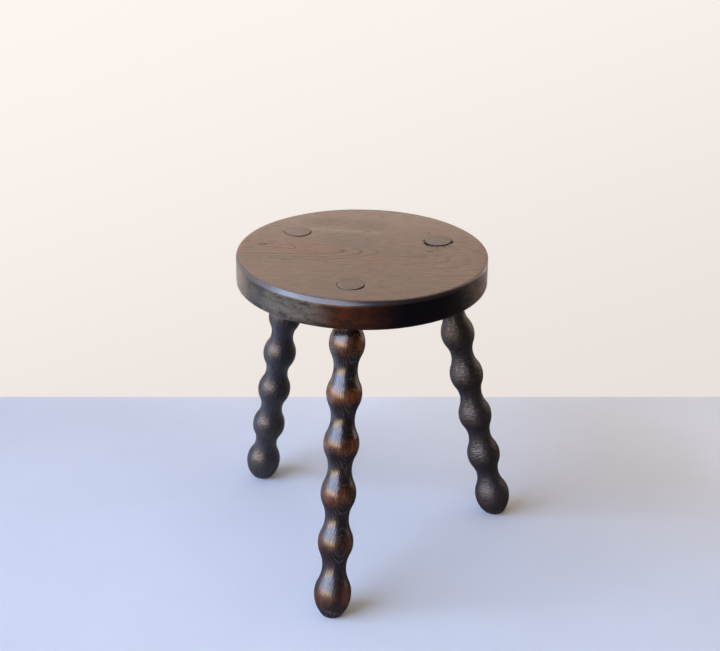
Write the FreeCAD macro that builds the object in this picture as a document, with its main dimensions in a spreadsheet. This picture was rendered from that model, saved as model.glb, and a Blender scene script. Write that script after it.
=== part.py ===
"""Milking stool: a round slab seat on three splayed, bobbin-turned legs.

Each leg ends in a round tenon of its own, glued through a slanting mortise in the seat. The stool stands
on z = 0 with the middle of its outline over the origin, its front leg towards -Y.
"""

import FreeCAD, Part
import Sketcher
import os

os.makedirs("parts", exist_ok=True)
doc = FreeCAD.newDocument("milking_stool")

# Driving dimensions in millimetres and degrees. Angles about the seat's axis are counted from +X.
DIMENSIONS = {
    # The slab, and the height of its flat top above the floor.
    "seat_diameter": 280.0,
    "seat_thickness": 33.5,
    "seat_height": 356.0,
    "seat_top_round": 5.0,
    "seat_bottom_round": 3.5,
    # The joint: a turned tenon, the glue line round it and the plain tenon that shows under the seat.
    "tenon_diameter": 29.0,
    "glue_line": 0.1,
    "tenon_show": 6.5,
    # The tenons stand a little proud of the seat, their rims worn round down to this much above it.
    "tenon_rim_left": 0.2,
    # The turning. Lengths along a leg are taken on its axis, from the floor up or from the seat down.
    "bulb_count": 6,
    "bulb_diameter": 39.1,
    "bulb_arc_radius": 29.0,
    "neck_diameter": 26.2,
    "top_bulb_drop": 28.5,
    # The lowest bulb is the foot: a little larger, and a little lower than an even step would put it.
    "foot_bulb_diameter": 41.1,
    "foot_bulb_height": 24.9,
    "foot_bulb_lag": 2.6,
    # The turned end runs past the floor and is sawn off level, then its corner is eased.
    "foot_end_diameter": 14.5,
    "foot_end_waste": 3.0,
    "foot_edge_round": 1.2,
    # The legs, bored by hand and so not quite alike. A mortise is placed where the leg's axis meets the
    # seat's top. The leg leans from the upright by its lean angle, its foot going out at its heading angle.
    "front_mortise_radius": 94.3,
    "front_mortise_angle": -90.0,
    "front_lean_angle": 14.1,
    "front_heading_angle": -93.3,
    "front_tenon_proud": 0.8,
    "right_mortise_radius": 93.2,
    "right_mortise_angle": 30.3,
    "right_lean_angle": 13.2,
    "right_heading_angle": 17.5,
    "right_tenon_proud": 1.6,
    "left_mortise_radius": 96.1,
    "left_mortise_angle": 147.3,
    "left_lean_angle": 13.9,
    "left_heading_angle": 131.6,
    "left_tenon_proud": 0.8,
}
LEGS = ("front", "right", "left")
SEAT_AXIS = ("seat_axis_x", "seat_axis_y")

sheet = doc.addObject("Spreadsheet::Sheet", "Dimensions")
ALIASES = [*DIMENSIONS, *SEAT_AXIS]


def write_dimension(alias, number):
    """Write a number into the sheet, beside its name."""
    row = ALIASES.index(alias) + 1
    sheet.set(f"A{row}", f"'{alias}")
    sheet.set(f"B{row}", str(number))
    sheet.setAlias(f"B{row}", alias)


for alias, number in DIMENSIONS.items():
    write_dimension(alias, number)
for alias in SEAT_AXIS:
    write_dimension(alias, 0.0)
doc.recompute()


def value(expression):
    """Return what an expression on the sheet comes to."""
    return float(sheet.evalExpression(expression))


# Points of a sketch's curves, the sketch's own two axes, and its origin, where the first of them starts.
START, END, CENTRE = range(1, 4)
X_AXIS, Y_AXIS = range(-1, -3, -1)
ORIGIN = (X_AXIS, START)


def new_sketch(body, name, plane):
    """Add a sketch on one of the body's own origin planes."""
    sketch = body.newObject("Sketcher::SketchObject", name)
    support = next(item for item in body.Origin.OriginFeatures if item.Role == plane)
    sketch.AttachmentSupport = [(support, "")]
    sketch.MapMode = "FlatFace"
    return sketch


def drive(sketch, kind, name, points, expression):
    """Add a named constraint whose size follows an expression on the sheet."""
    index = sketch.addConstraint(Sketcher.Constraint(kind, *points, value(expression)))
    sketch.renameConstraint(index, name)
    sketch.setExpression(f"Constraints.{name}", expression)


def round_sketch(body, name, radius, offset=None):
    """Add a circle on the body's XY plane, moved and tilted by a placement expression."""
    sketch = new_sketch(body, name, "XY_Plane")
    if offset:
        sketch.setExpression("AttachmentOffset", offset)
    circle = sketch.addGeometry(Part.Circle(FreeCAD.Vector(), FreeCAD.Vector(0, 0, 1), value(radius)))
    sketch.addConstraint(Sketcher.Constraint("Coincident", circle, CENTRE, *ORIGIN))
    drive(sketch, "Radius", "radius", (circle,), radius)
    return sketch


def new_pocket(body, name, sketch, side="One side", upward=False):
    """Cut a sketch right through, against its normal, or along it, or both ways."""
    pocket = body.newObject("PartDesign::Pocket", name)
    pocket.Profile = sketch
    pocket.Type = "ThroughAll"
    pocket.SideType = side
    pocket.Reversed = upward
    return pocket


def round_edges(body, name, edges, radius):
    """Fillet the listed edges of the body's last feature."""
    last = body.Tip
    fillet = body.newObject("PartDesign::Fillet", name)
    fillet.Base = (last, edges)
    fillet.setExpression("Radius", radius)
    doc.recompute()


def check_cut(feature, before):
    """Make sure that a cut took something away."""
    if feature.Shape.Volume >= before:
        raise RuntimeError(f"{feature.Label} cut nothing")


def tilt(leg):
    """Return the turn that lays the upright along a leg, foot outward."""
    return f"rotation(Dimensions.{leg}_heading_angle; -Dimensions.{leg}_lean_angle; 0)"


def mortise_place(leg):
    """Return the x and y of a mortise, from the seat's axis, at the seat's top."""
    radius = f"Dimensions.{leg}_mortise_radius"
    angle = f"Dimensions.{leg}_mortise_angle"
    return f"{radius} * cos({angle})", f"{radius} * sin({angle})"


def foot_place(leg):
    """Return the x and y where a leg's axis meets the floor, from the seat's axis."""
    mortise_x, mortise_y = mortise_place(leg)
    reach = f"Dimensions.seat_height * tan(Dimensions.{leg}_lean_angle)"
    heading = f"Dimensions.{leg}_heading_angle"
    return f"{mortise_x} + {reach} * cos({heading})", f"{mortise_y} + {reach} * sin({heading})"


def make_seat():
    """Make the slab: a disc with both rims rounded and a mortise bored along each leg."""
    body = doc.addObject("PartDesign::Body", "seat")
    body.Label = "seat"
    disc = body.newObject("PartDesign::Pad", "seat_disc")
    disc.Profile = round_sketch(body, "seat_outline", "Dimensions.seat_diameter / 2")
    disc.setExpression("Length", "Dimensions.seat_thickness")
    doc.recompute()
    for rim, height in (("top", "Dimensions.seat_thickness"), ("bottom", "0")):
        edges = [
            f"Edge{index}"
            for index, edge in enumerate(body.Tip.Shape.Edges, start=1)
            if edge.isClosed() and abs(edge.CenterOfMass.z - value(height)) < Part.Precision.confusion()
        ]
        round_edges(body, f"seat_{rim}_rim", edges, f"Dimensions.seat_{rim}_round")
    for leg in LEGS:
        mortise_x, mortise_y = mortise_place(leg)
        offset = f"placement(vector({mortise_x}; {mortise_y}; Dimensions.seat_thickness); {tilt(leg)})"
        radius = "Dimensions.tenon_diameter / 2 + Dimensions.glue_line"
        solid = body.Tip.Shape.Volume
        bore = round_sketch(body, f"{leg}_bore", radius, offset)
        mortise = new_pocket(body, f"{leg}_mortise", bore, side="Symmetric")
        doc.recompute()
        check_cut(mortise, solid)
    seat_bottom = "Dimensions.seat_height - Dimensions.seat_thickness"
    axis = "; ".join(f"Dimensions.{alias}" for alias in SEAT_AXIS)
    body.setExpression("Placement", f"placement(vector({axis}; {seat_bottom}); rotation(0; 0; 0))")
    return body


def tenon_top(leg):
    """Return the height of a tenon's sawn end, up the leg's axis from the floor."""
    return f"(Dimensions.seat_height + Dimensions.{leg}_tenon_proud) / cos(Dimensions.{leg}_lean_angle)"


def halfway(first, second):
    """Return the point midway between two others."""
    return (first + second) * 0.5


def belly(sloping_end, upright_end):
    """Return a point on the curve that leaves one end at a slope and reaches the other upright."""
    return halfway(halfway(sloping_end, upright_end), FreeCAD.Vector(upright_end.x, sloping_end.y, 0))


def turned_sketch(body, leg):
    """Draw half of a leg's outline: radius across, height up the axis from the floor.

    The bulbs all touch one upright gauge line and the necks another, as a turner sizes them, and each
    curve runs smoothly into the next.
    """
    sketch = new_sketch(body, f"{leg}_outline", "XZ_Plane")
    seat_bottom = f"(Dimensions.seat_height - Dimensions.seat_thickness) / cos(Dimensions.{leg}_lean_angle)"
    tenon_start = f"{seat_bottom} - Dimensions.tenon_show"
    # A tenon's diameter of waste is sawn off above the seat.
    tenon_end = f"{tenon_top(leg)} + Dimensions.tenon_diameter"
    even_foot = "Dimensions.foot_bulb_height + Dimensions.foot_bulb_lag"
    rise = f"({seat_bottom} - Dimensions.top_bulb_drop - ({even_foot}))"
    step = f"{rise} / (Dimensions.bulb_count - 1)"
    steps = range(1, round(value("Dimensions.bulb_count")))
    bulb_heights = [f"{even_foot} + {index} * {step}" for index in steps]
    neck_heights = [f"{height} - {step} / 2" for height in bulb_heights]

    def point(across, up):
        """Return a point of the outline from its diameter and its height."""
        return FreeCAD.Vector(value(across) / 2, value(up), 0)

    foot_end = point("Dimensions.foot_end_diameter", "-Dimensions.foot_end_waste")
    foot_widest = point("Dimensions.foot_bulb_diameter", "Dimensions.foot_bulb_height")
    shoulder = point("Dimensions.tenon_diameter", tenon_start)
    widest = [point("Dimensions.bulb_diameter", height) for height in bulb_heights]
    narrowest = [point("Dimensions.neck_diameter", height) for height in neck_heights]

    # The gauge lines that the bulbs and the necks touch.
    gauges = {}
    for name in ("bulb", "neck"):
        diameter = f"Dimensions.{name}_diameter"
        ends = point(diameter, "0"), point(diameter, tenon_start)
        gauge = sketch.addGeometry(Part.LineSegment(*ends), True)
        sketch.addConstraint(Sketcher.Constraint("Vertical", gauge))
        sketch.addConstraint(Sketcher.Constraint("Horizontal", gauge, START, *ORIGIN))
        drive(sketch, "DistanceX", f"{name}_gauge", (*ORIGIN, gauge, START), f"{diameter} / 2")
        drive(sketch, "DistanceY", f"{name}_gauge_top", (*ORIGIN, gauge, END), tenon_start)
        gauges[name] = gauge

    # The foot: an arc from the turned end to the widest place, and another from there to the first neck.
    joint = halfway(foot_widest, narrowest[0])
    foot = sketch.addGeometry(Part.Arc(foot_end, belly(foot_end, foot_widest), foot_widest))
    below = sketch.addGeometry(Part.Arc(foot_widest, belly(joint, foot_widest), joint))
    sketch.addConstraint(Sketcher.Constraint("Horizontal", foot, CENTRE, foot, END))
    sketch.addConstraint(Sketcher.Constraint("Tangent", foot, END, below, START))
    drive(sketch, "DistanceX", "foot_end", (*ORIGIN, foot, START), "Dimensions.foot_end_diameter / 2")
    drive(sketch, "DistanceY", "foot_waste", (foot, START, *ORIGIN), "Dimensions.foot_end_waste")
    drive(sketch, "DistanceX", "foot_bulb", (*ORIGIN, foot, END), "Dimensions.foot_bulb_diameter / 2")
    drive(sketch, "DistanceY", "foot_height", (*ORIGIN, foot, END), "Dimensions.foot_bulb_height")

    # Necks and bulbs by turns. Their arcs run anticlockwise, so a neck starts at its upper end.
    bulbs = []
    for index, (narrow, wide, above) in enumerate(zip(narrowest, widest, [*narrowest[1:], shoulder])):
        neck_top = halfway(narrow, wide)
        bulb_top = halfway(wide, above)
        neck = sketch.addGeometry(Part.Arc(neck_top, narrow, joint))
        bulb = sketch.addGeometry(Part.Arc(neck_top, wide, bulb_top))
        sketch.addConstraint(Sketcher.Constraint("Tangent", below, END, neck, END))
        sketch.addConstraint(Sketcher.Constraint("Tangent", neck, START, bulb, START))
        sketch.addConstraint(Sketcher.Constraint("Tangent", neck, gauges["neck"]))
        sketch.addConstraint(Sketcher.Constraint("Tangent", bulb, gauges["bulb"]))
        drive(sketch, "DistanceY", f"bulb_{index + 1}", (*ORIGIN, bulb, CENTRE), bulb_heights[index])
        if bulbs:
            sketch.addConstraint(Sketcher.Constraint("Equal", bulbs[0], bulb))
        else:
            drive(sketch, "Radius", "bulb_arc", (bulb,), "Dimensions.bulb_arc_radius")
            drive(sketch, "DistanceY", "first_neck", (*ORIGIN, neck, CENTRE), neck_heights[index])
        bulbs.append(bulb)
        below = bulb
        joint = bulb_top

    # The cove into the tenon, the tenon, its end, the axis and the foot's end close the outline.
    tenon_corner = point("Dimensions.tenon_diameter", tenon_end)
    axis_top = FreeCAD.Vector(0, tenon_corner.y, 0)
    axis_foot = FreeCAD.Vector(0, foot_end.y, 0)
    cove = sketch.addGeometry(Part.Arc(shoulder, belly(joint, shoulder), joint))
    tenon = sketch.addGeometry(Part.LineSegment(shoulder, tenon_corner))
    top = sketch.addGeometry(Part.LineSegment(tenon_corner, axis_top))
    axis = sketch.addGeometry(Part.LineSegment(axis_top, axis_foot))
    end = sketch.addGeometry(Part.LineSegment(axis_foot, foot_end))
    sketch.addConstraint(Sketcher.Constraint("Tangent", below, END, cove, END))
    sketch.addConstraint(Sketcher.Constraint("Tangent", cove, START, tenon, START))
    for lower, upper in ((tenon, top), (top, axis), (axis, end), (end, foot)):
        sketch.addConstraint(Sketcher.Constraint("Coincident", lower, END, upper, START))
    sketch.addConstraint(Sketcher.Constraint("Vertical", tenon))
    sketch.addConstraint(Sketcher.Constraint("Vertical", axis))
    sketch.addConstraint(Sketcher.Constraint("Horizontal", top))
    sketch.addConstraint(Sketcher.Constraint("Horizontal", end))
    sketch.addConstraint(Sketcher.Constraint("PointOnObject", axis, START, Y_AXIS))
    drive(sketch, "DistanceX", "tenon", (*ORIGIN, tenon, START), "Dimensions.tenon_diameter / 2")
    drive(sketch, "DistanceY", "tenon_start", (*ORIGIN, tenon, START), tenon_start)
    drive(sketch, "DistanceY", "tenon_end", (*ORIGIN, tenon, END), tenon_end)
    return sketch


def make_leg(leg):
    """Make one leg: turned, sawn level above the seat and at the floor, with both ends' edges eased."""
    body = doc.addObject("PartDesign::Body", f"{leg}_leg")
    body.Label = f"{leg}_leg"
    outline = turned_sketch(body, leg)
    turning = body.newObject("PartDesign::Revolution", f"{leg}_turning")
    turning.Profile = outline
    turning.ReferenceAxis = (outline, ["V_Axis"])
    turning.Angle = 360
    doc.recompute()

    # Both saw cuts lie level once the leg leans, so in the leg's own frame they lean the other way. They
    # reach well past the widest bulb.
    saw_reach = "Dimensions.foot_bulb_diameter + Dimensions.bulb_diameter"
    level = f"rotation(0; Dimensions.{leg}_lean_angle; 0)"
    for name, height, upward in (("tenon_cut", tenon_top(leg), True), ("floor_cut", "0", False)):
        solid = body.Tip.Shape.Volume
        offset = f"placement(vector(0; 0; {height}); {level})"
        sketch = round_sketch(body, f"{leg}_{name}_line", saw_reach, offset)
        cut = new_pocket(body, f"{leg}_{name}", sketch, upward=upward)
        doc.recompute()
        check_cut(cut, solid)

    rim_round = f"Dimensions.{leg}_tenon_proud - Dimensions.tenon_rim_left"
    foot_round = "Dimensions.foot_edge_round"
    for name, pick, radius in (("tenon_rim", max, rim_round), ("foot_edge", min, foot_round)):
        flats = [face for face in body.Tip.Shape.Faces if isinstance(face.Surface, Part.Plane)]
        sawn_end = pick(flats, key=lambda face: face.CenterOfMass.z)
        edges = [
            f"Edge{index}"
            for index, edge in enumerate(body.Tip.Shape.Edges, start=1)
            if any(edge.isSame(border) for border in sawn_end.Edges)
        ]
        round_edges(body, f"{leg}_{name}", edges, radius)
    foot = [f"Dimensions.{alias} + {place}" for alias, place in zip(SEAT_AXIS, foot_place(leg))]
    body.setExpression("Placement", f"placement(vector({foot[0]}; {foot[1]}; 0); {tilt(leg)})")
    return body


pieces = [make_seat()]
for leg in LEGS:
    pieces.append(make_leg(leg))
doc.recompute()

# The seat's axis goes where it brings the middle of the stool's outline over the origin.
outline = FreeCAD.BoundBox()
for piece in pieces:
    outline.add(piece.Shape.optimalBoundingBox())
for alias, middle in zip(SEAT_AXIS, (outline.Center.x, outline.Center.y)):
    write_dimension(alias, -middle)
doc.recompute()

for item in doc.Objects:
    if "Invalid" in item.State or "Error" in item.State:
        raise RuntimeError(f"{item.Label} failed: {item.State}")
for piece in pieces:
    if piece.Shape.isNull() or not piece.Shape.isValid():
        raise RuntimeError(f"{piece.Label} has no valid shape")
for piece in pieces:
    piece.Shape.exportStep(f"parts/{piece.Label}.step")
    box = piece.Shape.optimalBoundingBox()
    print(f"{piece.Label}: {piece.Shape.Volume:.0f} mm3, z {box.ZMin:.2f} to {box.ZMax:.2f}")
print("seat axis:", ", ".join(f"{value('Dimensions.' + alias):.3f}" for alias in SEAT_AXIS))
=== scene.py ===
"""A three-legged milking stool, dressed round its CAD frame."""

import math

import bmesh
import bpy
from mathutils import Euler, Matrix, Vector, noise


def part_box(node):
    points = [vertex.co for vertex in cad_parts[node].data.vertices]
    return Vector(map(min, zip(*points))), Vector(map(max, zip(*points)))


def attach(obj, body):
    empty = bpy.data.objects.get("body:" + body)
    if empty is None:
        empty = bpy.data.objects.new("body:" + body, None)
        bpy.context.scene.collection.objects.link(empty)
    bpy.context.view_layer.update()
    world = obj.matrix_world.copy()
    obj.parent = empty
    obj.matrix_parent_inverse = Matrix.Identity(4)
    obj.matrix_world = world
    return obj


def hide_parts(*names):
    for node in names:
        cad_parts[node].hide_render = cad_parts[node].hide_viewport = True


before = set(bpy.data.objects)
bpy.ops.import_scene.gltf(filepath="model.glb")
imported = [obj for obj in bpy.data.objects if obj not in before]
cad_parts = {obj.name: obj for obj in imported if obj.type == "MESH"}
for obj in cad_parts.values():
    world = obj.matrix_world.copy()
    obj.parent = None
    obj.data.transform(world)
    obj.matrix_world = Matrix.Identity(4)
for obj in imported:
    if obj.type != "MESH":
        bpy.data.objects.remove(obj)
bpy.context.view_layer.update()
MM = 0.001

# The seat: one flat-sawn board turned to a round slab, with its top rim rounded over and its bottom rim
# eased. Three slanting mortises are bored through it, and it is stained dark and worn to a satin sheen.
# Sizes are in millimetres, but for its axis, which is a place in the frame.
seat_low, seat_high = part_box("seat")
SEAT_AXIS = Vector(((seat_low.x + seat_high.x) / 2, (seat_low.y + seat_high.y) / 2, seat_high.z))
SEAT_RADIUS = (seat_high.x - seat_low.x) / 2 / MM
SEAT_THICKNESS = (seat_high.z - seat_low.z) / MM
SEAT_HEIGHT = seat_high.z / MM
SEAT_TOP_ROUND = 5.0
SEAT_BOTTOM_ROUND = 3.5
SEAT_FACETS = 288
SEAT_TOP_RINGS = 34
SEAT_TOP_STEPS = 9
SEAT_SIDE_ROWS = 6
SEAT_BOTTOM_STEPS = 6
SEAT_UNDER_RINGS = 8
SEAT_GRAIN = math.radians(7.2)
SEAT_UNEVEN = ((0.22, 55), (0.07, 11))
MERGED_WITHIN = 1e-4
SHARP_EDGE = math.radians(38)

# The legs as they are bored: how far the mortise is from the seat's axis, in which direction, the lean from
# the upright, the direction of the foot, and how far the tenon stands above the seat.
LEGS = {
    "front_leg": (94.3, -90.0, 14.1, -93.3, 0.8),
    "right_leg": (93.2, 30.3, 13.2, 17.5, 1.6),
    "left_leg": (96.1, 147.3, 13.9, 131.6, 0.8),
}
MORTISE_RADIUS = 14.6


def leg_frame(leg):
    """Return a leg's foot on the floor, the turn of its lean, and both as a matrix for millimetres."""
    mortise, angle, lean, heading, _ = LEGS[leg]
    reach = SEAT_HEIGHT * math.tan(math.radians(lean))
    bored_at = math.radians(angle)
    outward = math.radians(heading)
    foot = Vector((
        SEAT_AXIS.x + MM * (mortise * math.cos(bored_at) + reach * math.cos(outward)),
        SEAT_AXIS.y + MM * (mortise * math.sin(bored_at) + reach * math.sin(outward)),
        0.0,
    ))
    turn = Euler((0.0, -math.radians(lean), outward))
    leaning = Matrix.Translation(foot) @ turn.to_matrix().to_4x4()
    return foot, turn, Matrix.Scale(1 / MM, 4) @ leaning @ Matrix.Scale(MM, 4)


def straight_on(outline, tip, across, up):
    """Carry an outline straight on to a point."""
    made = bmesh.ops.extrude_vert_indiv(outline, verts=[tip])
    made["verts"][0].co = (across, 0.0, up)
    return made["verts"][0]


def round_on(outline, tip, across, up, degrees, steps):
    """Carry an outline on round an arc about a centre."""
    made = bmesh.ops.spin(
        outline, geom=[tip], cent=(across, 0, up), axis=(0, -1, 0), angle=math.radians(degrees), steps=steps
    )
    return next(item for item in made["geom_last"] if isinstance(item, bmesh.types.BMVert))


def turn_round(outline, facets):
    """Spin an outline about the upright axis into a closed turning."""
    bmesh.ops.spin(
        outline,
        geom=outline.verts[:] + outline.edges[:],
        cent=(0, 0, 0),
        axis=(0, 0, 1),
        angle=math.tau,
        steps=facets,
        use_merge=True,
    )
    bmesh.ops.remove_doubles(outline, verts=outline.verts[:], dist=MERGED_WITHIN)
    bmesh.ops.recalc_face_normals(outline, faces=outline.faces[:])


def wear(solid, unevenness):
    """Move a surface in and out by each depth over its span, as handling and hand tools leave it."""
    for worn_depth, worn_span in unevenness:
        solid.normal_update()
        for vert in solid.verts:
            vert.co += vert.normal * (worn_depth * noise.noise(vert.co / worn_span))


def new_piece(name, solid):
    """Make an object of a solid drawn in millimetres, smooth but for its sharp edges."""
    bmesh.ops.scale(solid, vec=(MM, MM, MM), verts=solid.verts[:])
    mesh = bpy.data.meshes.new(name)
    solid.to_mesh(mesh)
    solid.free()
    mesh.polygons.foreach_set("use_smooth", [True] * len(mesh.polygons))
    mesh.set_sharp_from_angle(angle=SHARP_EDGE)
    piece = bpy.data.objects.new(name, mesh)
    bpy.context.scene.collection.objects.link(piece)
    return piece


flat_radius = SEAT_RADIUS - SEAT_TOP_ROUND
under_radius = SEAT_RADIUS - SEAT_BOTTOM_ROUND
side = SEAT_THICKNESS - SEAT_TOP_ROUND - SEAT_BOTTOM_ROUND
bottom = SEAT_HEIGHT - SEAT_THICKNESS
slab = bmesh.new()
tip = slab.verts.new((0, 0, SEAT_HEIGHT))
for ring in range(1, SEAT_TOP_RINGS + 1):
    tip = straight_on(slab, tip, flat_radius * ring / SEAT_TOP_RINGS, SEAT_HEIGHT)
tip = round_on(slab, tip, flat_radius, SEAT_HEIGHT - SEAT_TOP_ROUND, -90, SEAT_TOP_STEPS)
for row in range(1, SEAT_SIDE_ROWS + 1):
    tip = straight_on(slab, tip, SEAT_RADIUS, SEAT_HEIGHT - SEAT_TOP_ROUND - side * row / SEAT_SIDE_ROWS)
tip = round_on(slab, tip, under_radius, bottom + SEAT_BOTTOM_ROUND, -90, SEAT_BOTTOM_STEPS)
for ring in reversed(range(SEAT_UNDER_RINGS)):
    tip = straight_on(slab, tip, under_radius * ring / SEAT_UNDER_RINGS, bottom)
turn_round(slab, SEAT_FACETS)

# Hands have worn the edge flatter on the left at the front, where the stool is lifted. The further round
# from there, the crisper the edge.
WORN_DIRECTION = -110
WORN_SPREAD = 45
WORN_WIDTH = 3.7
CRISP_ROUND = 2.4
for vert in slab.verts:
    beyond = vert.co.xy.length - flat_radius
    down = SEAT_HEIGHT - vert.co.z
    if 0 < beyond and down < SEAT_TOP_ROUND:
        off = abs(math.degrees(math.atan2(vert.co.y, vert.co.x)) - WORN_DIRECTION)
        softer = math.cos(math.radians(min(off, 360 - off, 90)))
        curve = CRISP_ROUND + (SEAT_TOP_ROUND - CRISP_ROUND) * softer
        turned = math.atan2(beyond, SEAT_TOP_ROUND - down)
        rounded_out = SEAT_TOP_ROUND - curve + curve * math.sin(turned)
        rounded = Vector((rounded_out, curve - curve * math.cos(turned)))
        part = turned / math.radians(90)
        chord = Vector((SEAT_TOP_ROUND - WORN_WIDTH * (1 - part), SEAT_TOP_ROUND * part))
        flat = max(0, 1 - (off / WORN_SPREAD) ** 4)
        new_beyond, new_down = rounded.lerp(chord, flat)
        vert.co.xy *= 1 + (new_beyond - beyond) / vert.co.xy.length
        vert.co.z = SEAT_HEIGHT - new_down
wear(slab, SEAT_UNEVEN)
bmesh.ops.translate(slab, vec=(SEAT_AXIS.x / MM, SEAT_AXIS.y / MM, 0), verts=slab.verts[:])
seat = new_piece("seat_slab", slab)

# A mortise's mouth is worn open. Chips have broken out of it where the grain runs out: each is a direction
# about the leg, a spread in degrees and a width.
BORE_DEPTH = 60
BORE_CLEAR = 12
BORE_FACETS = 120
MOUTH_DEPTH = 2.0
MOUTH_CLEAR = 0.5
MOUTH_WORN = 0.2
MOUTH_ROUGH = 0.12
MOUTH_ROUGH_SPAN = 3
CHIP_RAGGED = 0.45
CHIP_RAGGED_SPAN = 6
MORTISE_CHIPS = {
    "front_leg": ((-34, 34, 2.0), (-100, 34, 0.8)),
    "right_leg": (
        (-130, 30, 4.4),
        (-96, 20, 2.2),
        (2, 17, 4.2),
        (30, 9, 3.0),
        (150, 12, 2.4),
        (178, 14, 3.0),
    ),
    "left_leg": ((-66, 44, 1.3), (-10, 25, 0.7)),
}
bores = bmesh.new()
for leg, (mortise, _, lean, heading, _) in LEGS.items():
    _, _, place = leg_frame(leg)
    mouth = SEAT_HEIGHT / math.cos(math.radians(lean))
    slant = math.tan(math.radians(lean))
    bore = bmesh.new()
    tip = bore.verts.new((0, 0, mouth - BORE_DEPTH))
    tip = straight_on(bore, tip, MORTISE_RADIUS, mouth - BORE_DEPTH)
    tip = straight_on(bore, tip, MORTISE_RADIUS, mouth - MOUTH_DEPTH)
    tip = straight_on(bore, tip, MORTISE_RADIUS + MOUTH_WORN, mouth + MOUTH_CLEAR)
    tip = straight_on(bore, tip, MORTISE_RADIUS + MOUTH_WORN, mouth + BORE_CLEAR)
    straight_on(bore, tip, 0, mouth + BORE_CLEAR)
    turn_round(bore, BORE_FACETS)
    for vert in bore.verts:
        if vert.co.z > mouth and vert.co.xy.length > MORTISE_RADIUS:
            round_angle = math.degrees(math.atan2(vert.co.y, vert.co.x)) + heading
            rough_at = Vector((vert.co.x / MOUTH_ROUGH_SPAN, vert.co.y / MOUTH_ROUGH_SPAN, mortise))
            opened = MOUTH_ROUGH * noise.noise(rough_at)
            for direction, spread, width in MORTISE_CHIPS[leg]:
                off = (round_angle - direction + 180) % 360 - 180
                ragged = 1 + CHIP_RAGGED * noise.noise(Vector((round_angle / CHIP_RAGGED_SPAN, width, 0)))
                opened += width * ragged * max(0, 1 - (off / spread) ** 2)
            vert.co.xy *= 1 + opened / vert.co.xy.length
        if vert.co.z > mouth - 2 * MOUTH_DEPTH:
            vert.co.z -= vert.co.x * slant
    bmesh.ops.transform(bore, matrix=place, verts=bore.verts[:])
    shape = bpy.data.meshes.new(leg)
    bore.to_mesh(shape)
    bore.free()
    bores.from_mesh(shape)
    bpy.data.meshes.remove(shape)
cutter = new_piece("bores", bores)
boring = seat.modifiers.new("mortises", "BOOLEAN")
boring.object = cutter
boring.operation = "DIFFERENCE"
boring.solver = "EXACT"
bored = bpy.data.meshes.new_from_object(seat.evaluated_get(bpy.context.evaluated_depsgraph_get()))
seat.modifiers.clear()
unbored, seat.data = seat.data, bored
bpy.data.meshes.remove(unbored)
bpy.data.objects.remove(cutter)
seat.data.name = seat.name


class Wire:
    """A number, colour or place on its way through a finish, on which sums can be written out."""

    def __init__(self, finish, socket):
        self.finish = finish
        self.socket = socket

    def sum(self, operation, *terms):
        """Return the result of a Math node."""
        return self.finish.node("ShaderNodeMath", {"operation": operation}, dict(enumerate(terms)))

    def __add__(self, other):
        return self.sum("ADD", self, other)

    def __sub__(self, other):
        return self.sum("SUBTRACT", self, other)

    def __rsub__(self, other):
        return self.sum("SUBTRACT", other, self)

    def __mul__(self, other):
        return self.sum("MULTIPLY", self, other)

    def __truediv__(self, other):
        return self.sum("DIVIDE", self, other)

    def __rtruediv__(self, other):
        return self.sum("DIVIDE", other, self)

    def __pow__(self, other):
        return self.sum("POWER", self, other)

    def __abs__(self):
        return self.sum("ABSOLUTE", self)

    def __mod__(self, other):
        return self.sum("FLOORED_MODULO", self, other)

    __radd__ = __add__
    __rmul__ = __mul__

    def most(self, other):
        """Return the larger of two numbers."""
        return self.sum("MAXIMUM", self, other)

    def ease(self, low, high):
        """Rise smoothly from 0 to 1 as the number goes from low to high."""
        span = {"Value": self, "From Min": low, "From Max": high}
        return self.finish.node("ShaderNodeMapRange", {"interpolation_type": "SMOOTHSTEP"}, span)


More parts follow.
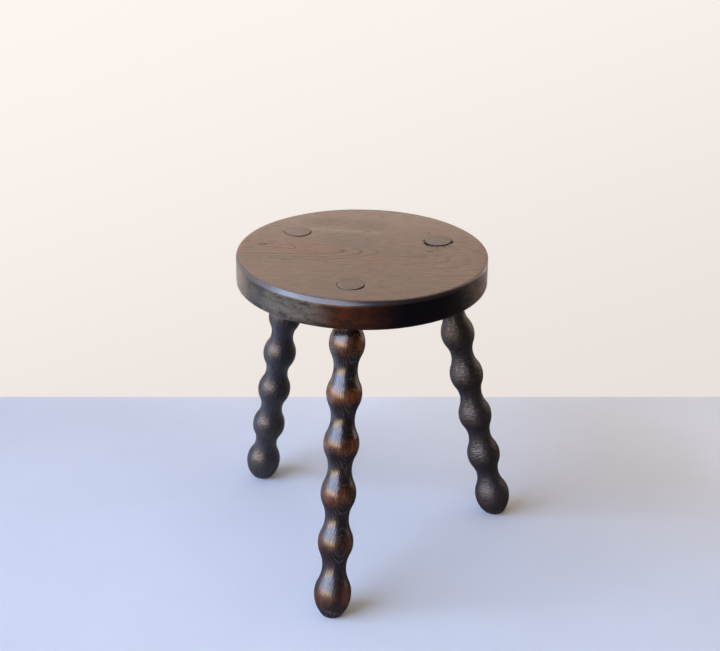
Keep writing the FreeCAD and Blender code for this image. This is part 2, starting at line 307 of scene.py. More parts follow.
class Finish:
    """A procedural finish of a material or of the world."""

    def __init__(self, owner):
        owner.use_nodes = True
        self.owner = owner
        self.tree = owner.node_tree
        self.tree.nodes.clear()

    def node(self, kind, settings, sockets, output=0):
        """Add a node, with its settings and the values or links of its sockets, and return an output."""
        made = self.tree.nodes.new(kind)
        for name, setting in settings.items():
            setattr(made, name, setting)
        for name, value in sockets.items():
            if isinstance(value, Wire):
                self.tree.links.new(value.socket, made.inputs[name])
            else:
                made.inputs[name].default_value = value
        return Wire(self, made.outputs[output]) if made.outputs else None

    def place(self, origin, turn):
        """Return the place on the piece in millimetres, from an origin and along turned axes."""
        coordinates = self.node("ShaderNodeTexCoord", {}, {}, "Object")
        sockets = {"Vector": coordinates, "Location": origin, "Rotation": turn, "Scale": (MM, MM, MM)}
        return self.node("ShaderNodeMapping", {"vector_type": "TEXTURE"}, sockets)

    def parts(self, place):
        """Return the three numbers of a place."""
        return [self.node("ShaderNodeSeparateXYZ", {}, {0: place}, axis) for axis in "XYZ"]

    def join(self, x, y, z):
        """Return a place made of three numbers."""
        return self.node("ShaderNodeCombineXYZ", {}, {0: x, 1: y, 2: z})

    def cloud(self, place, spans, detail=2.0, rough=0.5):
        """Return a noise from 0 to 1 with spots of these spans, in millimetres, along the three axes."""
        scale = [1 / span for span in spans]
        spread = self.node("ShaderNodeVectorMath", {"operation": "MULTIPLY"}, {0: place, 1: scale})
        sockets = {"Vector": spread, "Scale": 1.0, "Detail": detail, "Roughness": rough}
        return self.node("ShaderNodeTexNoise", {"noise_dimensions": "3D"}, sockets)

    def mix(self, factor, first, second):
        """Return a colour between two others."""
        colours = [(*colour, 1.0) if isinstance(colour, tuple) else colour for colour in (first, second)]
        sockets = {0: factor, 6: colours[0], 7: colours[1]}
        return self.node("ShaderNodeMix", {"data_type": "RGBA"}, sockets, 2)

    def lay(self, colour, *coats):
        """Return a colour with coats over it, each of which is how far it covers and its own colour."""
        for cover, coat in coats:
            colour = self.mix(cover, colour, coat)
        return colour

    def coating(self, sockets, height):
        """Return a shader whose bumps have this height in millimetres."""
        bump = self.node("ShaderNodeBump", {}, {"Strength": 1.0, "Distance": MM, "Height": height})
        return self.node("ShaderNodeBsdfPrincipled", {}, {**sockets, "Normal": bump})

    def cover(self, piece, shader):
        """Put the finish on a piece."""
        self.node("ShaderNodeOutputMaterial", {}, {"Surface": shader})
        piece.data.materials.clear()
        piece.data.materials.append(self.owner)


wood = Finish(bpy.data.materials.new("seat_finish"))
board = wood.place(SEAT_AXIS, (0, 0, SEAT_GRAIN))
along, across, depth = wood.parts(board)


def bend(start, slope, softness):
    """Return a rise that sets in smoothly past a place along the grain."""
    half = (along - start) * 0.5
    return (half + (half * half + softness) ** 0.5) * slope


def zone(centre_along, centre_across, half_length, half_width, ragged):
    """Return 1 in a soft-edged patch of the seat and 0 away from it."""
    far_along = (along - centre_along) / half_length
    far_across = (across - centre_across) / half_width
    return 1 - (far_along * far_along + far_across * far_across + ragged).ease(0.1, 1.5)


# Growth rings. The heart of the tree ran along the board just under its top face and sank away to the
# right in two steps, so the rings close in two sets of tongues that point right.
RING_SPAN = 5.8
FIRST_RING = 5.0
HEART_ACROSS = 4
HEART_DEPTH = 14
HEART_SINKS = 20
TONGUE_HALF_WIDTH = 60
drift = (wood.cloud(board, (70, 34, 34), 1) - 0.5) * 3 + (wood.cloud(board, (30, 8, 8), 2) - 0.5) * 1.8
from_heart = across - HEART_ACROSS + bend(20, 0.20, 200) + drift
heart_depth = HEART_DEPTH + along.ease(15, 95) * HEART_SINKS
under = heart_depth + depth
sinking = bend(-25, 0.37, 90) + bend(26, -0.33, 20) + bend(74, 0.23, 40)
sinking = sinking / (1 + from_heart * from_heart / TONGUE_HALF_WIDTH**2)
rings = (from_heart * from_heart + under * under) ** 0.5 - heart_depth + sinking
year = (rings - FIRST_RING) / RING_SPAN
season = year % 1
late = season.ease(0.58, 0.95) * (1 - season.ease(0.96, 1.0))
false_season = year * 3 % 1
weak = false_season.ease(0.5, 0.95) * (1 - false_season.ease(0.95, 1.0))
growth = wood.cloud(wood.join(year * 1.3, along / 34, 0), (1, 1, 1), 2).ease(0.32, 0.62)
young = 1 - year.ease(2.4, 3.2)
old_streaks = zone(86, -66, 34, 13, 0)
strength = (0.16 + 0.26 * growth).most(young * (0.5 + 0.5 * growth))
strength = strength.most(old_streaks * (0.3 + 0.7 * growth))
faint_behind = 1 - from_heart.ease(-1, 11) * 0.9 * (1 - along.ease(50, 90) * 0.7)
late = (late * strength).most(weak * 0.12) * faint_behind

# Pores, fibres and longer flecks, drawn out along the grain.
pores = wood.cloud(board, (9, 0.5, 0.5), 2, 0.6).ease(0.58, 0.74)
fibres = wood.cloud(board, (50, 1.4, 1.4), 3, 0.65)
flecks = wood.cloud(board, (15, 1.8, 1.8), 2, 0.6)

# The top is worn paler than the rim and the underside, and patchily: redder, browner and, behind the middle,
# greyer, where old wax lies on it.
TOP_BROWNS = ((0.183, 0.137, 0.093), (0.214, 0.152, 0.103))
RED_BROWN = (0.215, 0.126, 0.086)
DARK_BROWN = (0.135, 0.088, 0.058)
PINK_BROWN = (0.250, 0.152, 0.112)
GREEN_BROWN = (0.140, 0.112, 0.076)
LEFT_PALER = (0.266, 0.192, 0.136)
BACK_PAINTED_SHEEN = (0.285, 0.217, 0.156)
FRONT_DARKER = (0.140, 0.099, 0.068)
OLD_WAX = (0.188, 0.157, 0.120)
DUSKY_BROWN = (0.138, 0.106, 0.077)
WARM_BROWN = (0.250, 0.132, 0.072)
patches = wood.cloud(board, (60, 40, 40), 3, 0.55)
mottle = wood.cloud(board, (24, 13, 13), 3, 0.6)
tint = wood.cloud(board, (11, 5, 5), 2, 0.6)
blush = wood.cloud(board, (110, 55, 55), 1).ease(0.42, 0.62)
ragged = (patches - 0.5) * 2.2
haze = zone(-14, 36, 40, 26, ragged)
dusk = zone(-40, 96, 30, 16, ragged).most(zone(4, 84, 26, 22, ragged))
warm = zone(-60, 6, 40, 15, ragged)
# Towards the back the top is also painted lighter, a painted sheen where it is seen at a grazing angle. It is
# lighter to the left and darker to the front.
top_colour = wood.lay(
    wood.mix(patches.ease(0.3, 0.7), *TOP_BROWNS),
    (blush * 0.6, RED_BROWN),
    (mottle.ease(0.48, 0.75) * 0.7, DARK_BROWN),
    (tint.ease(0.5, 0.66) * 0.5, PINK_BROWN),
    (tint.ease(0.5, 0.34) * 0.5, GREEN_BROWN),
    (along.ease(20, -130) * 0.4, LEFT_PALER),
    (across.ease(10, 120) * 0.8, BACK_PAINTED_SHEEN),
    (across.ease(-50, -130) * 0.35, FRONT_DARKER),
    (haze * 0.55, OLD_WAX),
    (dusk * 0.5, DUSKY_BROWN),
    (warm * 0.55, WARM_BROWN),
)

# The rim is red-brown in front, where it shows the side of the grain. On the right it is painted near black,
# a painted shade on the side away from the light, tinted blue as a painted reflection. The end grain on the
# left is greyer and patchy, partly its own colour and partly a painted sheen, and palest at its far left, a
# painted sheen on the edge. On the far right it is pale in lines, partly a painted sheen.
RIM_REDS = ((0.018, 0.0045, 0.0013), (0.068, 0.0135, 0.0025))
PAINTED_SHADE_BLACK = (0.0008, 0.001, 0.005)
RIM_LINES_AND_SHEEN = (0.120, 0.090, 0.073)
END_GREYS = ((0.008, 0.0075, 0.006), (0.130, 0.111, 0.084))
END_DARK = (0.018, 0.018, 0.017)
END_PAINTED_SHEEN = (0.190, 0.148, 0.112)
rim_shade = wood.cloud(board, (16, 16, 6), 4, 0.68)
grit = wood.cloud(board, (3.4, 3.4, 1.5), 3, 0.6)
dry_lines = wood.cloud(board, (40, 14, 2.4), 3, 0.6).ease(0.42, 0.60)
middle = depth.ease(-31, -23) * (1 - depth.ease(-13, -6))
patchy = rim_shade * 0.8 + grit * 0.45 - 0.12 + middle * 0.12
far_left = (along + ragged * 4).ease(-116, -132)
# The greys are partly a painted sheen, and the pale far left is a painted sheen on the edge.
end_colour = wood.lay(
    wood.mix(patchy.ease(0.32, 0.80), *END_GREYS),
    ((along + ragged * 5).ease(-98, -110) * 0.45, END_DARK),
    (far_left * (0.35 + 0.6 * grit.ease(0.35, 0.6)), END_PAINTED_SHEEN),
)
# The near black on the right is a painted shade with a painted bluish reflection; the far-right lines are
# partly a painted sheen.
rim_colour = wood.lay(
    wood.mix((rim_shade + grit - 0.5).ease(0.3, 0.7), *RIM_REDS),
    ((along + ragged * 10).ease(-8, 48), PAINTED_SHADE_BLACK),
    ((along + ragged * 10).ease(-22, -58), end_colour),
    ((along + ragged * 6).ease(101, 127) * (0.25 + dry_lines * 0.75), RIM_LINES_AND_SHEEN),
)


def mark(centre_along, centre_across, turn, half_length, half_width):
    """Return how far a place lies from the edge of a long round-ended mark on the seat: below 0 inside it."""
    centre = Vector((centre_along, centre_across, 0)) * MM
    centre.rotate(Euler((0, 0, SEAT_GRAIN)))
    lying = (0, 0, SEAT_GRAIN + math.radians(turn))
    lengthwise, sideways, _ = wood.parts(wood.place(SEAT_AXIS + centre, lying))
    past_end = (abs(lengthwise) - (half_length - half_width)).most(0)
    return (past_end * past_end + sideways * sideways) ** 0.5 - half_width


# Marks of use: a scuff rubbed pale, the outline of an old flaw in the board, and a few dents. Each is its
# centre along and across the grain, its turn in degrees, and half its length and its width.
SCUFF = (-28, 68, -8, 48, 3.0)
FLAW = (-93, 15, -12, 19, 4.4)
FLAW_DENT = (-112, 20, -5, 6, 2.2)
DENTS = ((76, 61, 70, 3.4, 1.2), (76, 5, 20, 4.0, 1.8), (4, 64, 25, 5.0, 1.0), (92, 17, -10, 3, 1.1))
SCUFF_COLOUR = (0.36, 0.29, 0.235)
FLAW_COLOUR = (0.28, 0.19, 0.13)
FLAW_LINE_AND_SHADOW_COLOUR = (0.060, 0.038, 0.028)
DENT_COLOUR = (0.026, 0.016, 0.013)
speckle = wood.cloud(board, (6, 3, 3), 3, 0.6)
scuff = (1 - mark(*SCUFF).ease(-3.0, 6.0)) * speckle.ease(0.36, 0.62)
flaw_edge = mark(*FLAW) + (speckle - 0.5) * 4.5
# The flaw's dark outline is stronger on its near side, where it is partly a painted shadow.
flaw_line_and_shadow = (1 - abs(flaw_edge).ease(0.2, 1.7)) * (1 - (across - 13 + along * 0.1).ease(8, 14) * 0.6)
dents = 1 - mark(*FLAW_DENT).ease(-1.5, 1.0)
for dent in DENTS:
    dents = dents.most(1 - mark(*dent).ease(-1.0, 0.8))

# The mouths of the mortises are darkened, old grime and a painted shade, and the rounded edge is darker and
# polished by hands.
MOUTH_REACH = (21, 23)
MOUTH_GRIME_AND_SHADE_COLOUR = (0.006, 0.005, 0.006)
EDGE_COLOUR = (0.026, 0.024, 0.030)
mouths = 0
for mortise, angle, _, _, _ in LEGS.values():
    grain_angle = math.radians(angle) - SEAT_GRAIN
    far_along = along - mortise * math.cos(grain_angle)
    far_across = across - mortise * math.sin(grain_angle)
    mouths = mouths + (1 - ((far_along * far_along + far_across * far_across) ** 0.5).ease(*MOUTH_REACH))
mouth_grime_and_shade = (1 - depth.ease(-0.75, -0.3)) * mouths
below_top = 1 - depth.ease(-0.5, -0.1)
edge = depth.ease(-5.8, -4.8) * below_top
edge_polish = depth.ease(-5.6, -4.9) * below_top * (0.6 + 0.4 * fibres)
edge_polish = edge_polish * (1 - 0.6 * along.ease(-108, -126))

# The colours go on in turn: the stain, the grain, the marks, the grime and painted shade in the mortise
# mouths, and the dark edge.
LATE_WOOD = (0.040, 0.021, 0.014)
PORE_COLOUR = (0.030, 0.018, 0.013)
FLECK_COLOUR = (0.085, 0.052, 0.036)
FIBRE_COLOUR = (0.275, 0.188, 0.126)
on_top = (depth + (patches - 0.5) * 0.5).ease(-1.3, -0.2)
colour = wood.lay(
    wood.mix(on_top, rim_colour, top_colour),
    (late * (0.15 + 0.55 * on_top), LATE_WOOD),
    (pores * (0.15 + 0.25 * on_top), PORE_COLOUR),
    (flecks.ease(0.50, 0.70) * 0.62 * on_top, FLECK_COLOUR),
    (fibres.ease(0.46, 0.72) * 0.40 * on_top, FIBRE_COLOUR),
    (scuff * 0.45, SCUFF_COLOUR),
    ((1 - flaw_edge.ease(-4.0, 0.5)) * 0.32, FLAW_COLOUR),
    (flaw_line_and_shadow * speckle.ease(0.3, 0.55) * 0.7, FLAW_LINE_AND_SHADOW_COLOUR),
    (dents * 0.75, DENT_COLOUR),
    (mouth_grime_and_shade, MOUTH_GRIME_AND_SHADE_COLOUR),
    (edge * 0.6, EDGE_COLOUR),
)
satin = 0.30 + 0.12 * on_top + 0.08 * haze + 0.08 * late + 0.12 * pores
satin = satin + 0.12 * (fibres - 0.5) + 0.4 * mouth_grime_and_shade
relief = (fibres - 0.5) * 0.04 - pores * 0.04 - late * 0.05 - dents * 0.3 - flaw_line_and_shadow * 0.12
shader = {
    "Base Color": colour,
    "Roughness": satin,
    "Coat Weight": edge_polish,
    "Coat Roughness": 0.24,
    "Coat IOR": 1.75,
}
wood.cover(seat, wood.coating(shader, relief))
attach(seat, "root")
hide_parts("seat")

# The legs: bobbin turnings of six bulbs, each with its own tenon that goes up through the seat and is sawn
# off level above it. The lowest bulb is the foot, sawn level at the floor. They are stained near black and
# polished, and each has worn in its own way.
TENON_RADIUS = 14.5
TENON_SHOW = 6.5
TENON_RIM = 0.3
TENON_WASTE = 3 * TENON_RADIUS
BULBS = 6
BULB_RADIUS = 19.55
BULB_ARC = 29.0
NECK_RADIUS = 13.1
TOP_BULB_DROP = 28.5
FOOT_RADIUS = 20.55
FOOT_HEIGHT = 24.9
FOOT_LAG = 2.6
FOOT_END_RADIUS = 7.25
FOOT_END_WASTE = 3.0
FOOT_EDGE = 1.2
FOOT_STEPS = 22
FOOT_TOP_STEPS = 14
NECK_STEPS = 16
BULB_STEPS = 18
COVE_STEPS = 10
EASED_STEPS = 4
LEG_FACETS = 128
LEG_UNEVEN = ((0.16, 19), (0.05, 4))


def joining_arc(crown, rise, arc):
    """Return the radius of an arc that runs smoothly into one of a given radius.

    Its crown lies so far across from the other's centre, and its own centre so far above or below.
    """
    return (crown**2 + rise**2 - arc**2) / (2 * (arc - crown))


def turned_leg(lean):
    """Draw a leg's outline from the floor up, in arcs that run smoothly into each other, and turn it."""
    seat_bottom = (SEAT_HEIGHT - SEAT_THICKNESS) / math.cos(math.radians(lean))
    even_foot = FOOT_HEIGHT + FOOT_LAG
    step = (seat_bottom - TOP_BULB_DROP - even_foot) / (BULBS - 1)
    bulb_centre = BULB_RADIUS - BULB_ARC
    neck_arc = joining_arc(NECK_RADIUS - bulb_centre, step / 2, BULB_ARC)
    neck_centre = NECK_RADIUS + neck_arc
    slope = math.degrees(math.asin(step / 2 / (BULB_ARC + neck_arc)))
    cove_rise = TOP_BULB_DROP - TENON_SHOW
    cove_arc = joining_arc(TENON_RADIUS - bulb_centre, cove_rise, BULB_ARC)
    cove_slope = math.degrees(math.asin(cove_rise / (BULB_ARC + cove_arc)))

    leg = bmesh.new()
    tip = leg.verts.new((FOOT_END_RADIUS, 0, -FOOT_END_WASTE))
    foot_drop = FOOT_HEIGHT + FOOT_END_WASTE
    foot_inset = FOOT_RADIUS - FOOT_END_RADIUS
    foot_arc = (foot_drop**2 + foot_inset**2) / (2 * foot_inset)
    foot_turn = math.degrees(math.asin(foot_drop / foot_arc))
    tip = round_on(leg, tip, FOOT_RADIUS - foot_arc, FOOT_HEIGHT, foot_turn, FOOT_STEPS)
    rise = even_foot + step / 2 - FOOT_HEIGHT
    upper_arc = joining_arc(neck_centre - FOOT_RADIUS, rise, neck_arc)
    foot_slope = math.degrees(math.asin(rise / (upper_arc + neck_arc)))
    tip = round_on(leg, tip, FOOT_RADIUS - upper_arc, FOOT_HEIGHT, foot_slope, FOOT_TOP_STEPS)
    below = foot_slope
    for bulb in range(1, BULBS):
        height = even_foot + bulb * step
        above = cove_slope if bulb == BULBS - 1 else slope
        tip = round_on(leg, tip, neck_centre, height - step / 2, -(below + slope), NECK_STEPS)
        tip = round_on(leg, tip, bulb_centre, height, slope + above, BULB_STEPS)
        below = slope
    tip = round_on(leg, tip, TENON_RADIUS + cove_arc, seat_bottom - TENON_SHOW, -cove_slope, COVE_STEPS)
    tenon_end = (SEAT_HEIGHT + TENON_WASTE) / math.cos(math.radians(lean))
    straight_on(leg, tip, TENON_RADIUS, tenon_end)
    turn_round(leg, LEG_FACETS)
    return leg


def saw_off(solid, height, facing, edge):
    """Saw a turning off along a plane, drop what the plane faces, close the cut, and ease its edge."""
    cut = bmesh.ops.bisect_plane(
        solid,
        geom=solid.verts[:] + solid.edges[:] + solid.faces[:],
        plane_co=(0, 0, height),
        plane_no=facing,
        clear_outer=True,
    )
    edges = [item for item in cut["geom_cut"] if isinstance(item, bmesh.types.BMEdge)]
    cap = bmesh.ops.contextual_create(solid, geom=edges)["faces"]
    bmesh.ops.recalc_face_normals(solid, faces=solid.faces[:])
    bmesh.ops.bevel(
        solid,
        geom=list(cap[0].edges),
        offset=edge,
        segments=EASED_STEPS,
        profile=0.5,
        affect="EDGES",
        material=-1,
    )


# The finish of each leg: the direction in which its heart lay, how dull its polish is and how far its bulbs
# are rubbed through the stain, each at the foot and under the seat, how strongly its grain shows, how deep
# the wrinkles in its polish are, the colours of the stain and of the rubbed wood, and how much lighter its
# sawn tenon end is. The back legs' stains are tinted blue, a painted reflection of the pale blue floor, and
# the left leg's rubbed wood is olive, a painted tint of its highlights.
LEG_FINISH = {
    "front_leg": {
        "heart": -66,
        "dull": (0.27, 0.20),
        "rubbed": (0.74, 0.92),
        "figure": 1.0,
        "wrinkled": 0.0,
        "stain": (0.008, 0.0035, 0.0035),
        "bare": (0.172, 0.039, 0.008),
        "end_lighter": 0.0,
    },
    "right_leg": {
        "heart": -70,
        "dull": (0.42, 0.40),
        "rubbed": (0.18, 0.16),
        "figure": 0.35,
        "wrinkled": 0.85,
        # Blue in this stain is a painted reflection of the floor.
        "stain": (0.0055, 0.0042, 0.010),
        "bare": (0.080, 0.024, 0.010),
        "end_lighter": 0.28,
    },
    "left_leg": {
        "heart": 150,
        "dull": (0.33, 0.31),
        "rubbed": (0.80, 0.66),
        "figure": 0.75,
        "wrinkled": 0.45,
        # Blue in this stain is a painted reflection of the floor, and the olive of the rubbed wood a painted
        # tint of its highlights.
        "stain": (0.005, 0.006, 0.018),
        "bare": (0.011, 0.011, 0.005),
        "end_lighter": 0.58,
    },
}
LEG_RING_SPAN = 3.0
LEG_HEART_AWAY = 42
LEG_HEART_DRIFT = (0.03, 0.02)
RUBBED_RADIUS = (16.6, 21.4)
NECK_TO_BULB = (13.5, 17.5)
HANDLED_HEIGHT = (20, 200)
DUSTY_HEIGHT = (9, 22)
PAINTED_REFLECTION_BLUE = (0.014, 0.014, 0.028)
LEG_PORE_COLOUR = (0.008, 0.006, 0.005)
PAINTED_GLINT_COLOUR = (0.120, 0.095, 0.085)
TENON_BROWNS = ((0.108, 0.072, 0.041), (0.155, 0.103, 0.058))
TENON_PIT_COLOUR = (0.075, 0.048, 0.033)
TENON_LATE_WOOD = (0.06, 0.04, 0.03)
TENON_LIGHTER_END = (0.230, 0.170, 0.125)
TENON_GRIME_AND_SHADE = (0.005, 0.004, 0.004)
DUST_COLOUR = (0.30, 0.28, 0.27)
for leg, (_, _, lean, heading, proud) in LEGS.items():
    foot, turn, place = leg_frame(leg)
    turning = turned_leg(lean)
    wear(turning, LEG_UNEVEN)
    level = turn.to_matrix().transposed() @ Vector((0, 0, 1))
    saw_off(turning, (SEAT_HEIGHT + proud) / math.cos(math.radians(lean)), level, TENON_RIM)
    saw_off(turning, 0, -level, FOOT_EDGE)
    bmesh.ops.transform(turning, matrix=place, verts=turning.verts[:])
    piece = new_piece(leg.replace("_leg", "_turned_leg"), turning)

    # Grain: rings about a heart outside the turning, which drifts up the leg, with pores and fine streaks,
    # and pale lines along the rings that are painted glints.
    finish = LEG_FINISH[leg]
    figure = finish["figure"]
    stain = Finish(bpy.data.materials.new(leg + "_finish"))
    spot = stain.place(foot, tuple(turn))
    x, y, z = stain.parts(spot)
    radius = (x * x + y * y) ** 0.5
    heart = math.radians(finish["heart"] - heading)
    warp = (stain.cloud(spot, (22, 22, 45), 2) - 0.5) * 5
    to_x = x - LEG_HEART_AWAY * math.cos(heart) + z * LEG_HEART_DRIFT[0]
    to_y = y - LEG_HEART_AWAY * math.sin(heart) - z * LEG_HEART_DRIFT[1]
    year = ((to_x * to_x + to_y * to_y) ** 0.5 + warp) / LEG_RING_SPAN
    season = year % 1
    late = season.ease(0.15, 0.55) * (1 - season.ease(0.55, 0.7)) * figure
    blotch = stain.cloud(spot, (13, 13, 22), 3, 0.6)
    streaks = stain.cloud(spot, (1.5, 1.5, 9), 3, 0.65)
    pores = stain.cloud(spot, (0.55, 0.55, 8), 2, 0.6).ease(0.56, 0.72) * figure
    painted_glint = season.ease(0.68, 0.82) * (1 - season.ease(0.9, 1.0)) * blotch.ease(0.35, 0.6)

    # Wear: bulbs rubbed through the stain, most where the leg is handled. The necks, and the leg lower down,
    # are tinted blue, a painted reflection of the pale blue floor.
    handled = (z + (blotch - 0.5) * 40).ease(*HANDLED_HEIGHT)
    foot_rubbed, top_rubbed = finish["rubbed"]
    rubbed = radius + (blotch - 0.5) * 10 + (streaks - 0.5) * 8 - (1 - handled) * 1.2
    rubbed = rubbed.ease(*RUBBED_RADIUS) * (foot_rubbed + (top_rubbed - foot_rubbed) * handled)
    bulging = radius.ease(*NECK_TO_BULB)
    painted_reflection = (1 - bulging) * 0.55 + (1 - handled) * 0.3
    reflection_tinted = stain.mix(painted_reflection, finish["stain"], PAINTED_REFLECTION_BLUE)

    # The tenon's sawn end shows end grain, the tenon's sides are darkened where they stand in the mortise's
    # mouth, grime and a painted shade, and dust lies on the foot.
    top = stain.node("ShaderNodeSeparateXYZ", {}, {0: stain.place(SEAT_AXIS, (0, 0, 0))}, "Z")
    sawn = top.ease(proud - 0.35, proud - 0.15)
    tenon_grime_and_shade = top.ease(-4, -1) * (1 - sawn)
    pitted = stain.cloud(spot, (2.6, 2.6, 2.6), 3, 0.65)
    dust = stain.cloud(spot, (2.4, 2.4, 2.4), 2, 0.6).ease(0.56, 0.64)
    dust = dust * (1 - (z + blotch * 12).ease(*DUSTY_HEIGHT))
    end_grain = stain.lay(
        stain.mix(blotch.ease(0.3, 0.7), *TENON_BROWNS),
        (pitted.ease(0.45, 0.7) * 0.6, TENON_PIT_COLOUR),
        (late * 0.3, TENON_LATE_WOOD),
        (finish["end_lighter"], TENON_LIGHTER_END),
    )
    colour = stain.lay(
        stain.mix(rubbed, reflection_tinted, finish["bare"]),
        (late * 0.45, finish["stain"]),
        (pores * 0.5, LEG_PORE_COLOUR),
        (painted_glint * figure * 0.4, PAINTED_GLINT_COLOUR),
        (sawn, end_grain),
        (tenon_grime_and_shade * 0.9, TENON_GRIME_AND_SHADE),
        (dust * 0.5, DUST_COLOUR),
    )

    # The polish is dry in streaks and wrinkled as far as this leg's is.
    wrinkled = finish["wrinkled"]
    wrinkles = stain.cloud(spot, (4.5, 4.5, 1.3), 1, 0.5)
    dry = (1 - streaks.ease(0.3, 0.56)) * 0.16 * figure * (0.3 + 0.7 * bulging)
    dry = dry + late * 0.08 + pores * 0.1 + (1 - blotch.ease(0.1, 0.4)) * 0.1
    foot_dull, top_dull = finish["dull"]
    satin = foot_dull + (top_dull - foot_dull) * handled + dry
    satin = satin + (sawn + tenon_grime_and_shade) * 0.3 + dust * 0.3 + (0.5 - wrinkles) * wrinkled * 0.5
    relief = late * -0.06 - pores * 0.02 + (blotch - 0.5) * 0.05
    relief = relief + streaks * 0.035 * figure + wrinkles * wrinkled
    shader = {
        "Base Color": colour,
        "Roughness": satin,
        "IOR": 2.0,
    }
    stain.cover(piece, stain.coating(shader, relief))
    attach(piece, "root")
    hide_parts(leg)

# The floor and the wall behind it: a plain pale painted board and a plain warm white wall a little way
# behind the stool. From behind, the wall is clear, so that it hides nothing in a view from there.
FLOOR_REACH = 6000
FLOOR_COLOUR = (0.545, 0.65, 0.82)
FLOOR_BACK_COLOUR = (0.495, 0.57, 0.69)
FLOOR_RIGHT_PAINTED_LIGHT = (0.70, 0.785, 0.88)
FLOOR_FAR_COLOUR = (0.17, 0.19, 0.22)
FLOOR_SMEAR_COLOUR = (0.3, 0.3, 0.3)
KEY_SIDE = (-0.87, -0.5)
BOARD_EDGE = (420, 620)
BOARD_EDGE_TURN = math.radians(30)
BOARD_DIMMED = 0.92
DIM_ROOM = (0.028, 0.020, 0.016, 1.0)
WALL_REACH = 4000
WALL_FOOT = Vector((-0.0512, 0.3838, 0.0))
WALL_TURN = math.radians(9.05)
WALL_DIMMED = 0.8
WALL_PAINTED_LIGHT_TONES = ((0.81, 0.745, 0.71), (0.985, 0.915, 0.87))
WALL_PAINT = (0.90, 0.76, 0.63, 1.0)
ground = bmesh.new()
bmesh.ops.create_grid(ground, x_segments=1, y_segments=1, size=FLOOR_REACH)
floor = new_piece("floor", ground)
upright = bmesh.new()
bmesh.ops.create_grid(upright, x_segments=1, y_segments=1, size=WALL_REACH)
stand_up = Euler((math.radians(90), 0, WALL_TURN)).to_matrix()
bmesh.ops.rotate(upright, cent=(0, 0, 0), matrix=stand_up, verts=upright.verts[:])
bmesh.ops.translate(upright, vec=WALL_FOOT / MM + Vector((0, 0, WALL_REACH)), verts=upright.verts[:])
wall = new_piece("wall", upright)

# The floor is bluer in front; back on the right it is painted paler, a painted light that lifts the stool's
# shadow there; and it is dimmer far off under the light, where it would otherwise be too bright.
paint = Finish(bpy.data.materials.new("floor_finish"))
painted_board = paint.place((0, 0, 0), (0, 0, 0))
to_right, to_back, _ = paint.parts(painted_board)
towards_key = to_right * KEY_SIDE[0] + to_back * KEY_SIDE[1]
smear = paint.cloud(painted_board, (160, 160, 160), 4, 0.55)
colour = paint.lay(
    FLOOR_COLOUR,
    (to_back.ease(-200, 400), FLOOR_BACK_COLOUR),
    ((to_right * 0.45 + to_back * 1.15).ease(0, 660), FLOOR_RIGHT_PAINTED_LIGHT),
    (towards_key.ease(200, 1300) * 0.75, FLOOR_FAR_COLOUR),
    (smear.ease(0.3, 0.7) * 0.06, FLOOR_SMEAR_COLOUR),
)
shader = {
    "Base Color": colour,
    "Roughness": 0.6,
    "Specular IOR Level": 0.15,
}
painted = paint.coating(shader, smear * 0.1)

# In a reflection the board ends a little in front of the stool, and the dim room shows past its edge.
_, to_edge, _ = paint.parts(paint.place((0, 0, 0), (0, 0, BOARD_EDGE_TURN)))
in_polish = paint.node("ShaderNodeLightPath", {}, {}, "Is Glossy Ray")
room_past_edge = paint.node("ShaderNodeEmission", {}, {"Color": DIM_ROOM, "Strength": 1.0})
shaded = (to_right * 0.8 - to_back * 0.6).ease(-600, 50) * BOARD_DIMMED
past_edge = in_polish * (0 - to_edge).ease(*BOARD_EDGE).most(shaded)
paint.cover(floor, paint.node("ShaderNodeMixShader", {}, {0: past_edge, 1: painted, 2: room_past_edge}))

# The wall shows a warm white without shadow, palest high on the left, a painted light, and lights the stool
# as matt paint does. Low down, the polish shows the dim room in its place.
plaster = Finish(bpy.data.materials.new("wall_finish"))
along_wall, _, up = plaster.parts(plaster.place(WALL_FOOT, (0, 0, WALL_TURN)))
wall_painted_light = plaster.mix((up - along_wall * 0.35).ease(-250, 800), *WALL_PAINTED_LIGHT_TONES)
shown = plaster.node("ShaderNodeEmission", {}, {"Color": wall_painted_light, "Strength": 1.0})
matt = plaster.node("ShaderNodeBsdfDiffuse", {}, {"Color": WALL_PAINT})
to_camera = plaster.node("ShaderNodeLightPath", {}, {}, "Is Camera Ray")
to_polish = plaster.node("ShaderNodeLightPath", {}, {}, "Is Glossy Ray")
room_low_down = plaster.node("ShaderNodeEmission", {}, {"Color": DIM_ROOM, "Strength": 1.0})
low_down = to_polish * (up.ease(190, 60) * WALL_DIMMED)
facing = plaster.node("ShaderNodeMixShader", {}, {0: low_down, 1: matt, 2: room_low_down})
facing = plaster.node("ShaderNodeMixShader", {}, {0: to_camera, 1: facing, 2: shown})
clear = plaster.node("ShaderNodeBsdfTransparent", {}, {})
from_behind = plaster.node("ShaderNodeNewGeometry", {}, {}, "Backfacing")
plaster.cover(wall, plaster.node("ShaderNodeMixShader", {}, {0: from_behind, 1: facing, 2: clear}))

# The light: a wide cool soft box, high on the left and in front, lights the stool. Two cool windows and a
# long strip of warmer light only show in its polish. Each is a direction about the stool and degrees up,
# metres away, a width and height, watts, a colour, and whether it lights and whether it shows.
AIM = Vector((0, -0.1, 0.25))
LIGHTS = {
    "key": (-150, 30, 6.5, (7.2, 4.9), 815, (0.60, 0.72, 1.0), (True, False)),
    "window": (-128, 33.5, 7.2, (9.0, 6.0), 660, (0.67, 0.74, 1.0), (False, True)),
    "side_window": (-193, 30, 6.0, (7.4, 4.8), 375, (0.38, 0.61, 1.0), (False, True)),
    "warm_strip": (-130, 5.5, 6.2, (11.0, 1.9), 250, (1.0, 0.69, 0.36), (False, True)),
}


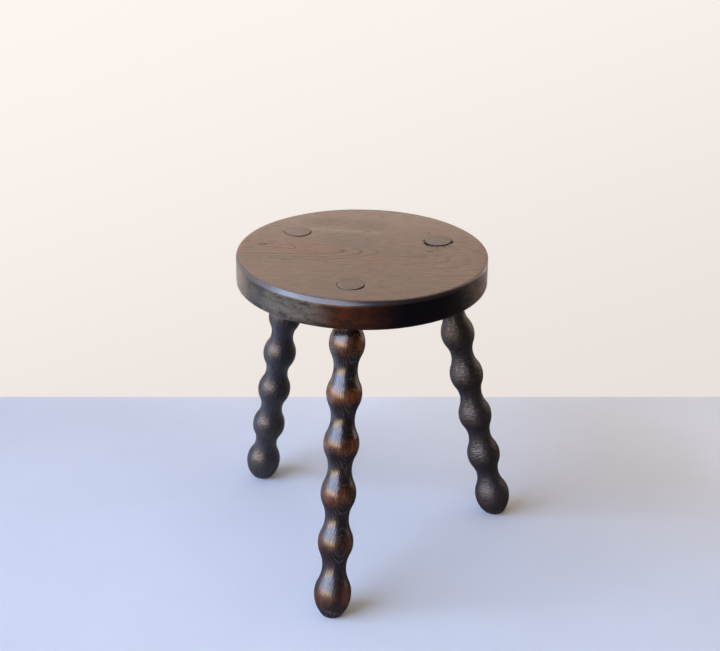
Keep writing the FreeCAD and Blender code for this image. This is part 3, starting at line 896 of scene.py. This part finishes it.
def hang_light(name, heading, height, away, size, watts, colour, shows):
    """Hang a flat light this far from the stool, in this direction and so many degrees up, facing it."""
    lamp = bpy.data.lights.new(name, "AREA")
    lamp.shape = "RECTANGLE"
    lamp.size, lamp.size_y = size
    lamp.energy = watts
    lamp.color = colour
    light = bpy.data.objects.new(name, lamp)
    towards = Vector((away, 0, 0))
    towards.rotate(Euler((0, -math.radians(height), math.radians(heading))))
    light.location = AIM + towards
    light.rotation_euler = (-towards).to_track_quat("-Z", "Y").to_euler()
    light.visible_camera = False
    light.visible_diffuse, light.visible_glossy = shows
    bpy.context.scene.collection.objects.link(light)


for name, light in LIGHTS.items():
    hang_light(name, *light)

# The room: a low warm light from all round, dim in the polish, which shows pale behind the floor.
ROOM_COLOUR = (1.0, 0.70, 0.34)
ROOM_LIGHT = 0.62
ROOM_GLOSS = 0.03
ROOM_SHOWN = (0.86, 0.80, 0.76)
room = Finish(bpy.data.worlds.new("room"))
seen = room.node("ShaderNodeLightPath", {}, {}, "Is Camera Ray")
glossy = room.node("ShaderNodeLightPath", {}, {}, "Is Glossy Ray")
room_strength = ROOM_LIGHT + glossy * (ROOM_GLOSS - ROOM_LIGHT) + seen * (1 - ROOM_LIGHT)
room_tone = room.mix(seen, ROOM_COLOUR, ROOM_SHOWN)
glow = room.node("ShaderNodeBackground", {}, {"Color": room_tone, "Strength": room_strength})
room.node("ShaderNodeOutputWorld", {}, {"Surface": glow})
bpy.context.scene.world = room.owner

# The camera, as it stood: about 2.1 m off, looking down on the seat.
CAMERA_PLACE = (0.21287, -1.74097, 1.05988)
CAMERA_HEADING = math.radians(-7.205)
CAMERA_PITCH = math.radians(23.9623)
CAMERA_ROLL = math.radians(0.8185)
CAMERA_LENS = 86.187
CAMERA_SENSOR = 36.0
lens = bpy.data.cameras.new("camera")
lens.lens = CAMERA_LENS
lens.sensor_width = CAMERA_SENSOR
camera = bpy.data.objects.new("camera", lens)
ahead = Matrix.Rotation(-CAMERA_HEADING, 4, "Z") @ Matrix.Rotation(math.pi / 2 - CAMERA_PITCH, 4, "X")
camera.matrix_world = Matrix.Translation(CAMERA_PLACE) @ ahead @ Matrix.Rotation(CAMERA_ROLL, 4, "Z")
bpy.context.scene.collection.objects.link(camera)
bpy.context.scene.camera = camera
bpy.context.scene.view_settings.view_transform = "Standard"
